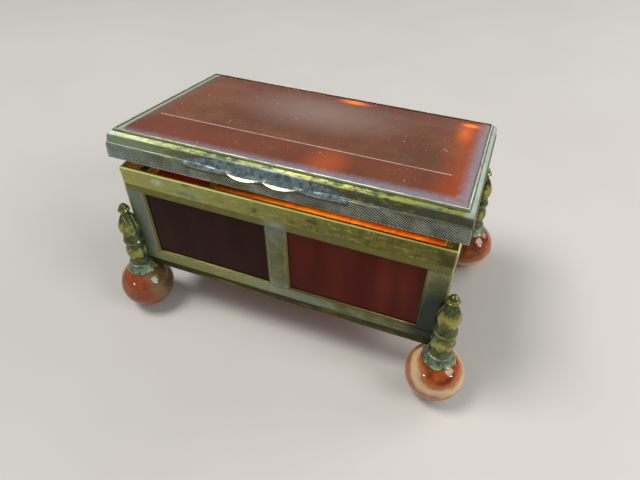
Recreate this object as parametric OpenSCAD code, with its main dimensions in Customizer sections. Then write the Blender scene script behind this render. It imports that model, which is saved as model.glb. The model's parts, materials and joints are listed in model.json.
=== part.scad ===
// Small rectangular trinket box: brass case with carnelian panels, hinged lid, bead feet.
// Millimetres. Origin at the centre of the base on the resting plane, +X to the right,
// -Y is the front, +Z up.

/* [Case] */
// Length of the case over its brass walls
case_l = 67.7; // [60:0.1:80]
// Depth of the case over its brass walls
case_w = 38.5; // [34:0.1:50]
// Height of the polished rim above the table
case_z1 = 38.8; // [38.5:0.1:42]
// Height of the plain band round the mouth
rim_band_h = 3.9; // [3.5:0.1:4.2]
// Height of the plain band round the foot of the walls
base_band_h = 1.8; // [1.4:0.1:2.2]
// Thickness of the pierced brass wall plates
wall_t = 0.5; // [0.4:0.05:1.1]

/* [Panels] */
// Width of the brass bar between the two long-side windows
mullion_w = 4.8; // [3:0.1:8]
// Width of the upright bars at the corners
stile_w = 4.55; // [4.4:0.05:6]
// Height of the underside of the windows above the table
window_z0 = 17; // [16.8:0.1:19]
// Height of the top of the windows above the table
window_z1 = 33; // [30:0.1:33]
// Thickness of the stone panels
panel_t = 1.8; // [1.2:0.1:2]
// How far a stone panel reaches behind its brass wall
panel_lap = 1.1; // [0.6:0.1:1.2]
// Thickness of the brass keepers behind the panels
keeper_t = 0.4; // [0.3:0.05:0.5]
// Bevel round the front edge of a window
window_bevel = 0.25; // [0.1:0.05:0.3]

/* [Lid] */
// How far the lid stands out beyond the walls of the case
lid_overhang = 1.15; // [1.1:0.05:1.4]
// Height of the lid's metalwork
lid_h = 5.5; // [5.2:0.1:6.5]
// Height of the engine-turned skirt
skirt_h = 2.9; // [2.6:0.1:3.2]
// Gap between the skirt and the case all round
lid_gap = 0.25; // [0.22:0.01:0.4]
// Opening angle at which the lid is drawn
lid_angle = 8.7; // [0:0.1:100]
// Width of the bevel along the front and back of the lid stone
stone_bevel_y = 9; // [4:0.5:12]
// Width of the bevel at the ends of the lid stone
stone_bevel_x = 4.2; // [2:0.1:8]
// Height of the flat table of the stone above the edge of its bevel
stone_crown = 0.8; // [0.3:0.05:1.2]

/* [Thumb piece] */
// Width of the scalloped thumb piece
thumb_w = 31.8; // [24:0.2:40]
// Width of each of its two middle scallops
scallop_w = 7; // [5:0.1:9]
// Distance of its centre from the middle of the lid
thumb_x = -1.6; // [-3:0.1:3]
// Thickness of the thumb piece
thumb_t = 1.1; // [0.8:0.1:1.3]
// Reach of the two middle scallops
thumb_reach = 1.5; // [1:0.1:2.5]

/* [Hinge] */
// Length of one hinge knuckle
knuckle_l = 8; // [5:0.5:11]
// Outer radius of the knuckles
knuckle_r = 0.95; // [0.8:0.01:1.05]
// Radius of the hinge pin
pin_r = 0.4; // [0.3:0.05:0.5]
// Radial running clearance of the pin in the lid's knuckles
pin_play = 0.05; // [0.02:0.01:0.08]

/* [Feet] */
// Diameter of the stone bead under each corner
bead_d = 12.1; // [11:0.1:12.6]
// Distance of a foot's axis outside the two walls of its corner
foot_out = 1.1; // [0.8:0.1:1.4]
// Height of the top of the cast corner mount above the table
mount_z1 = 29.8; // [28:0.1:31]
// Angle between neighbouring lobes of the corner mount
lobe_pitch = 52; // [45:1:60]
// Radius of the riveted peg through a bead
peg_r = 0.8; // [0.6:0.1:1]

/* [Hidden] */
$fn = 72;

// Metal and stone colours
gilt = [0.72, 0.60, 0.28];
worn_brass = [0.45, 0.44, 0.33];
bright_brass = [0.85, 0.75, 0.42];
verdigris = [0.45, 0.55, 0.48];
dark_stone = [0.20, 0.08, 0.07];
red_stone = [0.42, 0.10, 0.06];
lid_carnelian = [0.45, 0.22, 0.14];
orange_stone = [0.80, 0.30, 0.08];
steel = [0.41, 0.41, 0.42];

// Levels
case_z0 = bead_d + 0.1;
rim_z0 = case_z1 - rim_band_h;
frame_z0 = case_z0 + base_band_h;
floor_t = 0.8;
bottom_stone_z0 = case_z0 + floor_t;
bottom_stone_t = 2;
keeper_z0 = bottom_stone_z0 + bottom_stone_t;
skirt_z0 = rim_z0 + 0.2;

// Insets from the outside of the case to the layers of a wall
panel_in = wall_t;
keeper_in = panel_in + panel_t;
inside_in = keeper_in + keeper_t;
long_keeper_l = case_l - 2 * inside_in;
end_keeper_l = case_w - 2 * inside_in;
rim_wall = 0.8;
rim_chamfer = 0.3;
rim_flange_t = 0.4;
floor_flange = 6;
slip = 0.05;

// Windows
long_window_w = (case_l - mullion_w) / 2 - stile_w;
long_window_x = (mullion_w + long_window_w) / 2;
side_window_w = case_w - 2 * stile_w;
window_h = window_z1 - window_z0;
window_mid = (window_z0 + window_z1) / 2;
long_places = [-long_window_x, long_window_x];
cutter_spare = 0.2;

// Lid sections, measured up from the bottom of the skirt
lid_l = case_l + 2 * lid_overhang;
lid_w = case_w + 2 * lid_overhang;
skirt_t = lid_overhang - lid_gap;
ceiling_z = case_z1 - skirt_z0 + 0.15;
ledge_t = 0.4;
ledge_in = 3;
band_in = 0.12;
shoulder_z = lid_h - 0.7;
shoulder_in = 0.35;
lip_in = 1.15;
lip_t = 0.35;
lip_fold = 0.25;
lip_seat = 0.15;
stone_in = lip_in + lip_t;

// Thumb piece
outer_scallop_w = thumb_w / 2 - scallop_w;
scallop_sag = 1;
outer_sag = 0.6;
outer_reach = thumb_reach - 0.3;

// Hinge
hinge_y = lid_w / 2 + 0.35;
hinge_z = skirt_z0 - 1.1;
lid_leaf_t = 0.6;
case_leaf_t = 0.5;
knuckles = 5;
knuckle_gap = 0.2;
barrel_l = knuckle_l - knuckle_gap;
hinge_l = knuckles * knuckle_l;
lid_leaf_z0 = skirt_z0 + 0.1;
lid_leaf_z1 = skirt_z0 + 2.5;
case_leaf_z0 = hinge_z - 3.6;
case_leaf_z1 = hinge_z - 1.1;

// Feet
bead_r = bead_d / 2;
foot_x = case_l / 2 + foot_out;
foot_y = case_w / 2 + foot_out;
peg_head_r = 1.3;
peg_head_t = 0.5;
peg_top = 18;
ring_z = 19.9;
knob_r = 0.9;
neck_r = 0.8;
cap_z0 = bead_d - 1.2;
cap_z1 = bead_d + 1.3;
cap_r = 3.4;
lobes = 5;
fine = 240;

// A straight bar of the given profile, cut at 45 degrees at both ends.
// The profile's x is the distance inwards from the outline and its y is the height.
module ring_side(l, w, reach) {
    intersection() {
        translate([0, -w / 2, 0])
            rotate([90, 0, 90])
                linear_extrude(l + 2 * reach, center = true)
                    children();
        linear_extrude(120, center = true)
            polygon([
                [-l / 2 - reach, -w / 2 - reach],
                [l / 2 + reach, -w / 2 - reach],
                [l / 2 - reach, -w / 2 + reach],
                [-l / 2 + reach, -w / 2 + reach]
            ]);
    }
}

// A rectangular frame of the given profile with mitred corners.
module mitred_ring(l, w, reach = 8) {
    for (turn = [0, 180]) rotate(turn) ring_side(l, w, reach) children();
    for (turn = [90, 270]) rotate(turn) ring_side(w, l, reach) children();
}

// The outside of the case as a block, which corner mounts and caps are cut to fit.
module case_block() {
    translate([-case_l / 2, -case_w / 2, case_z0])
        cube([case_l, case_w, case_z1 - case_z0]);
}

// Turns lid parts about the hinge to the drawn opening angle.
module on_lid() {
    translate([0, hinge_y, hinge_z])
        rotate([-lid_angle, 0, 0])
            translate([0, -hinge_y, -hinge_z])
                children();
}

// A part of the lid whose heights start at the bottom of the skirt.
module lid_part(tint) {
    color(tint)
        on_lid()
            translate([0, 0, skirt_z0])
                children();
}

// Smooth upper band of the lid with its shoulder and the ledge that carries the stone.
module lid_frame() {
    lid_part(gilt)
        mitred_ring(lid_l, lid_w)
            polygon([
                [band_in, skirt_h],
                [shoulder_in, shoulder_z],
                [lip_in, lid_h - lip_seat],
                [lip_in, ceiling_z + ledge_t],
                [ledge_in, ceiling_z + ledge_t],
                [ledge_in, ceiling_z],
                [skirt_t, ceiling_z],
                [skirt_t, skirt_h]
            ]);
}

// Engine-turned skirt that slides down over the rim of the case.
module lid_skirt() {
    lid_part(worn_brass)
        mitred_ring(lid_l, lid_w)
            polygon([[0, 0], [0, skirt_h], [skirt_t, skirt_h], [skirt_t, 0]]);
}

// Thin strip folded over the edge of the lid stone.
module stone_bezel() {
    lid_part(bright_brass)
        mitred_ring(lid_l, lid_w)
            polygon([
                [lip_in, ceiling_z + ledge_t],
                [lip_in, lid_h],
                [lip_in + lip_t, lid_h + lip_fold],
                [lip_in + lip_t, ceiling_z + ledge_t]
            ]);
}

// Lid stone, flat below, with a table bounded by four shallow bevels.
module lid_stone() {
    stone_l = lid_l - 2 * stone_in;
    stone_w = lid_w - 2 * stone_in;
    z0 = ceiling_z + ledge_t;
    lid_part(lid_carnelian)
        intersection() {
            rotate([90, 0, 90])
                linear_extrude(stone_l, center = true)
                    polygon([
                        [-stone_w / 2, z0],
                        [-stone_w / 2, lid_h],
                        [-stone_w / 2 + stone_bevel_y, lid_h + stone_crown],
                        [stone_w / 2 - stone_bevel_y, lid_h + stone_crown],
                        [stone_w / 2, lid_h],
                        [stone_w / 2, z0]
                    ]);
            rotate([90, 0, 0])
                linear_extrude(stone_w, center = true)
                    polygon([
                        [-stone_l / 2, z0],
                        [-stone_l / 2, lid_h],
                        [-stone_l / 2 + stone_bevel_x, lid_h + stone_crown],
                        [stone_l / 2 - stone_bevel_x, lid_h + stone_crown],
                        [stone_l / 2, lid_h],
                        [stone_l / 2, z0]
                    ]);
        }
}

// One scallop of the thumb piece, standing out from the skirt with its front edge an arc.
module scallop(x, width, reach, sag) {
    r = (pow(width / 2, 2) + pow(sag, 2)) / (2 * sag);
    intersection() {
        translate([x, r - reach, 0])
            cylinder(r = r, h = thumb_t, $fn = fine);
        translate([x - width / 2, -reach, 0])
            cube([width, reach, thumb_t]);
    }
}

// Scalloped thumb piece soldered to the front of the skirt.
module thumb_piece() {
    lid_part(verdigris)
        translate([thumb_x, -lid_w / 2, skirt_h - thumb_t])
            for (side = [-1, 1]) {
                scallop(side * scallop_w / 2, scallop_w, thumb_reach, scallop_sag);
                scallop(side * (scallop_w + outer_scallop_w / 2), outer_scallop_w, outer_reach,
                    outer_sag);
            }
}

// Places its child at the middle of every knuckle of one hinge leaf.
module at_knuckles(first) {
    for (i = [first:2:knuckles - 1])
        translate([(i - (knuckles - 1) / 2) * knuckle_l, hinge_y, hinge_z])
            children();
}

// A cylinder lying along X with its middle at the origin.
module barrel(r, length) {
    rotate([0, 90, 0])
        cylinder(r = r, h = length, center = true);
}

// Hinge leaf soldered to the back of the lid, with its two knuckles.
module lid_hinge_leaf() {
    color(worn_brass)
        on_lid()
            difference() {
                union() {
                    translate([-hinge_l / 2, lid_w / 2, lid_leaf_z0])
                        cube([hinge_l, lid_leaf_t, lid_leaf_z1 - lid_leaf_z0]);
                    at_knuckles(1) {
                        barrel(knuckle_r, barrel_l);
                        translate([-barrel_l / 2, lid_w / 2 - hinge_y, 0])
                            cube([barrel_l, lid_leaf_t, lid_leaf_z1 - hinge_z]);
                    }
                }
                at_knuckles(1) barrel(pin_r + pin_play, barrel_l + 1);
            }
}

// Hinge leaf soldered to the back of the case, with its three knuckles.
module case_hinge_leaf() {
    web_y = case_w / 2 - hinge_y;
    color(worn_brass)
        difference() {
            union() {
                translate([-hinge_l / 2, case_w / 2, case_leaf_z0])
                    cube([hinge_l, case_leaf_t, case_leaf_z1 - case_leaf_z0]);
                at_knuckles(0) {
                    barrel(knuckle_r, barrel_l);
                    translate([-barrel_l / 2, web_y, case_leaf_z0 - hinge_z])
                        cube([barrel_l, case_leaf_t, hinge_z - case_leaf_z0]);
                    translate([-barrel_l / 2, web_y, -knuckle_r])
                        cube([barrel_l, -web_y, knuckle_r]);
                }
            }
            at_knuckles(0) barrel(pin_r, barrel_l + 1);
        }
}

// Plain steel pin through all five knuckles.
module hinge_pin() {
    color(steel)
        translate([0, hinge_y, hinge_z])
            barrel(pin_r, hinge_l - knuckle_gap);
}

// Plain polished band round the mouth, with an inner flange over the stone panels.
module rim_band() {
    color(gilt)
        mitred_ring(case_l, case_w)
            polygon([
                [0, rim_z0],
                [0, case_z1 - rim_chamfer],
                [rim_chamfer, case_z1],
                [rim_wall, case_z1],
                [rim_wall, rim_z0 + rim_flange_t],
                [inside_in, rim_z0 + rim_flange_t],
                [inside_in, rim_z0]
            ]);
}

// Plain band round the foot of the walls, with the flange that carries the bottom stone.
module base_band() {
    color(gilt)
        mitred_ring(case_l, case_w)
            polygon([
                [0, case_z0],
                [0, frame_z0],
                [wall_t, frame_z0],
                [wall_t, bottom_stone_z0],
                [floor_flange, bottom_stone_z0],
                [floor_flange, case_z0]
            ]);
}

// An upright plate facing -Y with bevelled windows at the given places along X.
module pierced_plate(length, thickness, z0, z1, window_w, places, bevel) {
    difference() {
        translate([-length / 2, 0, z0])
            cube([length, thickness, z1 - z0]);
        for (x = places)
            translate([x, 0, window_mid]) {
                translate([-window_w / 2, -1, -window_h / 2])
                    cube([window_w, thickness + 2, window_h]);
                if (bevel > 0)
                    rotate([90, 0, 0])
                        mitred_ring(window_w, window_h, 2)
                            polygon([
                                [cutter_spare, cutter_spare],
                                [-bevel - cutter_spare, cutter_spare],
                                [cutter_spare, -bevel - cutter_spare]
                            ]);
            }
    }
}

// Places a wall layer, made facing -Y, on the given side at a depth below the outside.
module on_wall(side, inset) {
    turn = side == "front" ? 0 : side == "right" ? 90 : side == "back" ? 180 : 270;
    reach = (side == "front" || side == "back") ? case_w / 2 : case_l / 2;
    rotate(turn) translate([0, -reach + inset, 0]) children();
}

// Engine-turned brass wall of a long side, with two windows.
module long_frame(side) {
    color(worn_brass)
        on_wall(side, 0)
            pierced_plate(case_l, wall_t, frame_z0, rim_z0, long_window_w, long_places,
                window_bevel);
}

// Engine-turned brass wall of an end, with one window.
module end_frame(side) {
    color(worn_brass)
        on_wall(side, 0)
            pierced_plate(case_w - 2 * wall_t, wall_t, frame_z0, rim_z0, side_window_w,
                [0], window_bevel);
}

// A flat stone panel behind one window.
module panel(side, x, window_w, tint) {
    width = window_w + 2 * panel_lap;
    height = window_h + 2 * panel_lap;
    color(tint)
        on_wall(side, panel_in)
            translate([x - width / 2, 0, window_mid - height / 2])
                cube([width, panel_t, height]);
}

// Thin brass plate inside a wall that holds its stones against the pierced wall.
module keeper(side, length, window_w, places) {
    color(gilt)
        on_wall(side, keeper_in)
            pierced_plate(length, keeper_t, keeper_z0, rim_z0, window_w, places, 0);
}

// Stone floor of the case.
module bottom_stone() {
    l = case_l - 2 * (wall_t + slip);
    w = case_w - 2 * (wall_t + slip);
    color(orange_stone)
        translate([-l / 2, -w / 2, bottom_stone_z0])
            cube([l, w, bottom_stone_t]);
}

// A lens of revolution standing on end, with blunted tips. Its arc would reach the axis at
// the given half height.
module lens(half_h, r) {
    arc_r = (pow(half_h, 2) + pow(r, 2)) / (2 * r);
    blunt_h = 0.9 * half_h;
    rotate_extrude()
        intersection() {
            translate([r - arc_r, 0]) circle(arc_r, $fn = fine);
            translate([0, -blunt_h]) square([r, 2 * blunt_h]);
        }
}

// Places its child at every lobe of a corner mount, facing outwards from the corner.
module at_lobes(z, out_r) {
    for (i = [0:lobes - 1])
        rotate((i - (lobes - 1) / 2) * lobe_pitch)
            translate([out_r, 0, z])
                children();
}

// Puts a foot part, made on its own axis with +X pointing outwards, under a corner.
module at_foot(side_x, side_y) {
    translate([side_x * foot_x, side_y * foot_y, 0])
        rotate(atan2(side_y, side_x))
            children();
}

// Cast corner mount: a knob, a tier of almond lobes, a ring and a tier of longer lobes.
module corner_mount(side_x, side_y) {
    color(gilt)
        difference() {
            at_foot(side_x, side_y) {
                rotate_extrude()
                    polygon([
                        [0, cap_z1], [2.1, cap_z1], [1.7, cap_z1 + 0.6], [1.7, ring_z - 0.9],
                        [2.4, ring_z - 0.3], [2.4, ring_z + 0.3], [1.6, ring_z + 1],
                        [1.5, mount_z1 - 5.3], [neck_r, mount_z1 - 3.5],
                        [neck_r, mount_z1 - 2 * knob_r], [0, mount_z1 - 2 * knob_r]
                    ]);
                at_lobes((cap_z1 + ring_z) / 2 - 0.2, 1.35) lens(2.9, 1.05);
                at_lobes((ring_z + mount_z1) / 2 - 1.2, 1.2) lens(2.7, 1);
                at_lobes(mount_z1 - 1.5, 0.65) sphere(r = 0.75);
                translate([0, 0, mount_z1 - knob_r]) sphere(r = knob_r);
            }
            case_block();
            at_foot(side_x, side_y) cylinder(r = peg_r, h = peg_top);
        }
}

// Flared cap between the corner mount and its bead.
module foot_cap(side_x, side_y) {
    color(verdigris)
        difference() {
            at_foot(side_x, side_y)
                rotate_extrude()
                    polygon([
                        [0, cap_z0], [cap_r, cap_z0], [cap_r, cap_z0 + 0.45],
                        [2.9, cap_z0 + 0.9], [2.5, cap_z0 + 1.6], [2.35, cap_z1], [0, cap_z1]
                    ]);
            case_block();
            at_foot(side_x, side_y) {
                translate([0, 0, bead_r]) sphere(r = bead_r + slip, $fn = fine);
                cylinder(r = peg_r, h = peg_top);
            }
        }
}

// Polished stone bead, drilled through and counterbored for the peg's head.
module foot_ball(side_x, side_y) {
    color(orange_stone)
        at_foot(side_x, side_y)
            difference() {
                translate([0, 0, bead_r]) sphere(r = bead_r, $fn = fine);
                translate([0, 0, -1]) cylinder(r = peg_r + slip, h = bead_d + 2);
                translate([0, 0, -1]) cylinder(r = peg_head_r + slip, h = peg_head_t + 1);
            }
}

// Peg through the bead, with the flat riveted head that the box stands on.
module foot_peg(side_x, side_y) {
    color(bright_brass)
        at_foot(side_x, side_y) {
            cylinder(r = peg_r, h = peg_top);
            cylinder(r = peg_head_r, h = peg_head_t);
        }
}

lid_frame();
lid_skirt();
stone_bezel();
lid_stone();
thumb_piece();
lid_hinge_leaf();
rim_band();
base_band();
long_frame("front");  // front_frame
long_frame("back");  // back_frame
end_frame("left");  // left_frame
end_frame("right");  // right_frame
panel("front", -long_window_x, long_window_w, dark_stone);  // front_left_stone
panel("front", long_window_x, long_window_w, red_stone);  // front_right_stone
panel("back", long_window_x, long_window_w, red_stone);  // back_left_stone
panel("back", -long_window_x, long_window_w, dark_stone);  // back_right_stone
panel("left", 0, side_window_w, red_stone);  // left_stone
panel("right", 0, side_window_w, red_stone);  // right_stone
bottom_stone();
keeper("front", long_keeper_l, long_window_w, long_places);  // front_keeper
keeper("back", long_keeper_l, long_window_w, long_places);  // back_keeper
keeper("left", end_keeper_l, side_window_w, [0]);  // left_keeper
keeper("right", end_keeper_l, side_window_w, [0]);  // right_keeper
case_hinge_leaf();
hinge_pin();
corner_mount(-1, -1);  // front_left_mount
corner_mount(1, -1);  // front_right_mount
corner_mount(-1, 1);  // back_left_mount
corner_mount(1, 1);  // back_right_mount
foot_cap(-1, -1);  // front_left_cap
foot_cap(1, -1);  // front_right_cap
foot_cap(-1, 1);  // back_left_cap
foot_cap(1, 1);  // back_right_cap
foot_ball(-1, -1);  // front_left_ball
foot_ball(1, -1);  // front_right_ball
foot_ball(-1, 1);  // back_left_ball
foot_ball(1, 1);  // back_right_ball
foot_peg(-1, -1);  // front_left_peg
foot_peg(1, -1);  // front_right_peg
foot_peg(-1, 1);  // back_left_peg
foot_peg(1, 1);  // back_right_peg
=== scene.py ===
"""Vanity trinket box: the CAD frame with detailed pieces, finishes, a plain studio and a camera.

Meshes are worked out in millimetres and stored in metres, in the row frame. Pieces of the lid are made
in the place they have with the lid shut, and lid_pose turns them to the opening they are drawn at.
"""

import json
import math
from functools import reduce

import bmesh
import bpy
from mathutils import Matrix, Vector, noise


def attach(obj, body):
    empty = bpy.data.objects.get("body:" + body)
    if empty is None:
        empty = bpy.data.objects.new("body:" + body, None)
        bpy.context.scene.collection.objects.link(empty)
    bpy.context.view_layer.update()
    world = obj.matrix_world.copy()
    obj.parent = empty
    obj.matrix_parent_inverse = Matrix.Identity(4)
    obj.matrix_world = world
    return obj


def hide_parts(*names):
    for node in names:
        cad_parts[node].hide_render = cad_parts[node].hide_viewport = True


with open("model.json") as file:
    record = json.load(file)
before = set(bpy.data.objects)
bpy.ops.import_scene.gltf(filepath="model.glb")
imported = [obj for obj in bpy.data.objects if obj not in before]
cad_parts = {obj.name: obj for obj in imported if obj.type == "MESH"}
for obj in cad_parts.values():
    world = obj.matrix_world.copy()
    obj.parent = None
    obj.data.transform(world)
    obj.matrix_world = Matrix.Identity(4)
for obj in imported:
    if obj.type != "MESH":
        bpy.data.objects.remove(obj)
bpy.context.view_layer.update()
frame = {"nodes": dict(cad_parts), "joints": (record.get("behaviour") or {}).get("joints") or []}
scene = bpy.context.scene
MM = 0.001

# ---- measures from the frame

hinge_joint = frame["joints"][0]
hinge = Vector(hinge_joint["pos_m"])
opening = -math.radians(hinge_joint["range_deg"][0])
lid_pose = Matrix.Translation(hinge) @ Matrix.Rotation(-opening, 4, "X") @ Matrix.Translation(-hinge)


def box_mm(node, pose=None):
    """Lowest and highest corner of a CAD node in millimetres, after undoing the given pose."""
    undo = (pose or Matrix()).inverted()
    corners = [undo @ v.co / MM for v in frame["nodes"][node].data.vertices]
    low = Vector([min(c[axis] for c in corners) for axis in range(3)])
    high = Vector([max(c[axis] for c in corners) for axis in range(3)])
    return low, high


skirt_low, skirt_high = box_mm("lid_skirt", lid_pose)
band_low, band_high = box_mm("lid_frame", lid_pose)
lip_low, lip_high = box_mm("stone_bezel", lid_pose)
slab_low, slab_high = box_mm("lid_stone", lid_pose)
thumb_low, thumb_high = box_mm("thumb_piece", lid_pose)
rim_low, rim_high = box_mm("rim_band")
base_low, base_high = box_mm("base_band")
panel_low, panel_high = box_mm("front_left_stone")
cap_low, cap_high = box_mm("front_right_cap")
mount_high = box_mm("front_right_mount")[1]
bead_low, bead_high = box_mm("front_right_ball")

peg_low, peg_high = box_mm("front_right_peg")
foot_x = (peg_low.x + peg_high.x) / 2
foot_y = -(peg_low.y + peg_high.y) / 2
wall_t = panel_low.y - rim_low.y
inner_inset = box_mm("front_keeper")[1].y - rim_low.y
LID_GAP = 0.25  # between the skirt and the case
PANEL_LAP = 1.1  # how far a panel reaches behind its wall
SCALLOP_W = 7.0  # width of each middle scallop of the thumb piece
TABLE_IN = (4.2, 9.0)  # from the edge of the lid stone to its table, at the ends and the long sides
TABLE_RISE = 0.8  # of the table above the edge of the lid stone
LIP_OUT, LIP_IN = 1.15, 1.5  # outer and inner face of the folded strip, from the outside of the lid
FLANGE_W, FLANGE_T = 6.0, 0.8  # of the flange that carries the floor
EDGE_R = 0.05  # rounding of the walls' edges
WORN_W = 0.16  # width of the wear on the ridges of the lid stone
THUMB_ROOT = 0.4  # how far the thumb piece reaches into the lid
thumb_mid = (thumb_low.x + thumb_high.x) / 2
thumb_half = (thumb_high.x - thumb_low.x) / 2
lid_half = (skirt_high.x, skirt_high.y)
case_half = (rim_high.x, rim_high.y)

# ---- small geometry helpers


def waver(point, wavelength, amount, seed=0.0):
    """A smooth random offset in millimetres that varies over the given wavelength."""
    return amount * noise.noise(Vector(point) / wavelength + Vector((seed, 2 * seed, -seed)))


def fillet(outline, radii, steps=4):
    """The closed outline with each corner rounded to its radius; a radius of 0 leaves it sharp."""
    rounded = []
    for i, radius in enumerate(radii):
        corner = Vector(outline[i])
        if radius == 0:
            rounded.append(corner)
            continue
        before = (Vector(outline[i - 1]) - corner).normalized()
        after = (Vector(outline[(i + 1) % len(outline)]) - corner).normalized()
        half = before.angle(after) / 2
        centre = corner + (before + after).normalized() * radius / math.sin(half)
        start = corner + before * radius / math.tan(half) - centre
        end = corner + after * radius / math.tan(half) - centre
        first = math.atan2(start.y, start.x)
        sweep = (math.atan2(end.y, end.x) - first + math.pi) % (2 * math.pi) - math.pi
        for step in range(steps + 1):
            angle = first + sweep * step / steps
            rounded.append(centre + radius * Vector((math.cos(angle), math.sin(angle))))
    return rounded


def stations(length, pitch, corner=0.1):
    """Places along a side, from -1 up to but not including 1, with one close to each corner."""
    count = max(2, round(length / pitch))
    inner = 1 - 2 * corner / length
    return [-1.0] + [inner * (2 * i / count - 1) for i in range(count + 1)]


def side_point(half, side, t, inset, z):
    """The point at place t of a side (0 front, 1 right, 2 back, 3 left), inset from the outline."""
    half_l, half_w = half
    reach, out = (half_l, half_w) if side % 2 == 0 else (half_w, half_l)
    along, across = t * (reach - inset), out - inset
    turned = [(along, -across), (across, along), (-along, across), (-across, -along)][side]
    return Vector((turned[0], turned[1], z))


def ring(half, profile, pitch, shape):
    """A rectangular ring of the given profile of (inset, height), mitred at its corners.

    shape(k, j, t, place, inset, z) gives the own inset and height of profile point j at station k.
    """
    points, faces = [], []
    places = [(side, t) for side in range(4) for t in stations(2 * half[side % 2], pitch)]
    for k, (side, t) in enumerate(places):
        for j, (inset, z) in enumerate(profile):
            place = side_point(half, side, t, inset, z)
            inset, z = shape(k, j, t, place, inset, z)
            points.append(side_point(half, side, t, inset, z))
    count = len(profile)
    for k in range(len(places)):
        here, there = k * count, (k + 1) % len(places) * count
        for j in range(count):
            up = (j + 1) % count
            faces.append((here + j, there + j, there + up, here + up))
    return points, faces


def piece(name, body, stands_for, finish, points, faces, pose=None, sharp=35, relief=None):
    """A mesh piece from points in millimetres, riding on a body in place of its CAD nodes.

    finish is a key of finishes; relief is one value per point, for the material to read.
    """
    mesh = bpy.data.meshes.new(name)
    mesh.from_pydata([Vector(p) * MM for p in points], [], faces)
    if relief:
        layer = mesh.attributes.new("relief", "FLOAT", "POINT")
        layer.data.foreach_set("value", relief)
    obj = bpy.data.objects.new(name, mesh)
    scene.collection.objects.link(obj)
    settle(obj, finishes[finish], sharp)
    obj.matrix_world = pose or Matrix()
    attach(obj, body)
    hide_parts(*stands_for)
    return obj


def settle(obj, material, sharp):
    """Outward normals, smooth shading that breaks at sharp edges, and the piece's one material."""
    work = bmesh.new()
    work.from_mesh(obj.data)
    bmesh.ops.recalc_face_normals(work, faces=work.faces)
    for face in work.faces:
        face.smooth = True
    for edge in work.edges:
        edge.smooth = len(edge.link_faces) == 2 and edge.calc_face_angle() < math.radians(sharp)
    work.to_mesh(obj.data)
    work.free()
    obj.data.materials.clear()
    obj.data.materials.append(material)


# ---- shading helpers


def srgb(red, green, blue):
    """A linear colour from display values between 0 and 255."""
    def linear(value):
        value /= 255
        return value / 12.92 if value <= 0.04045 else ((value + 0.055) / 1.055) ** 2.4
    return (linear(red), linear(green), linear(blue), 1.0)


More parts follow.
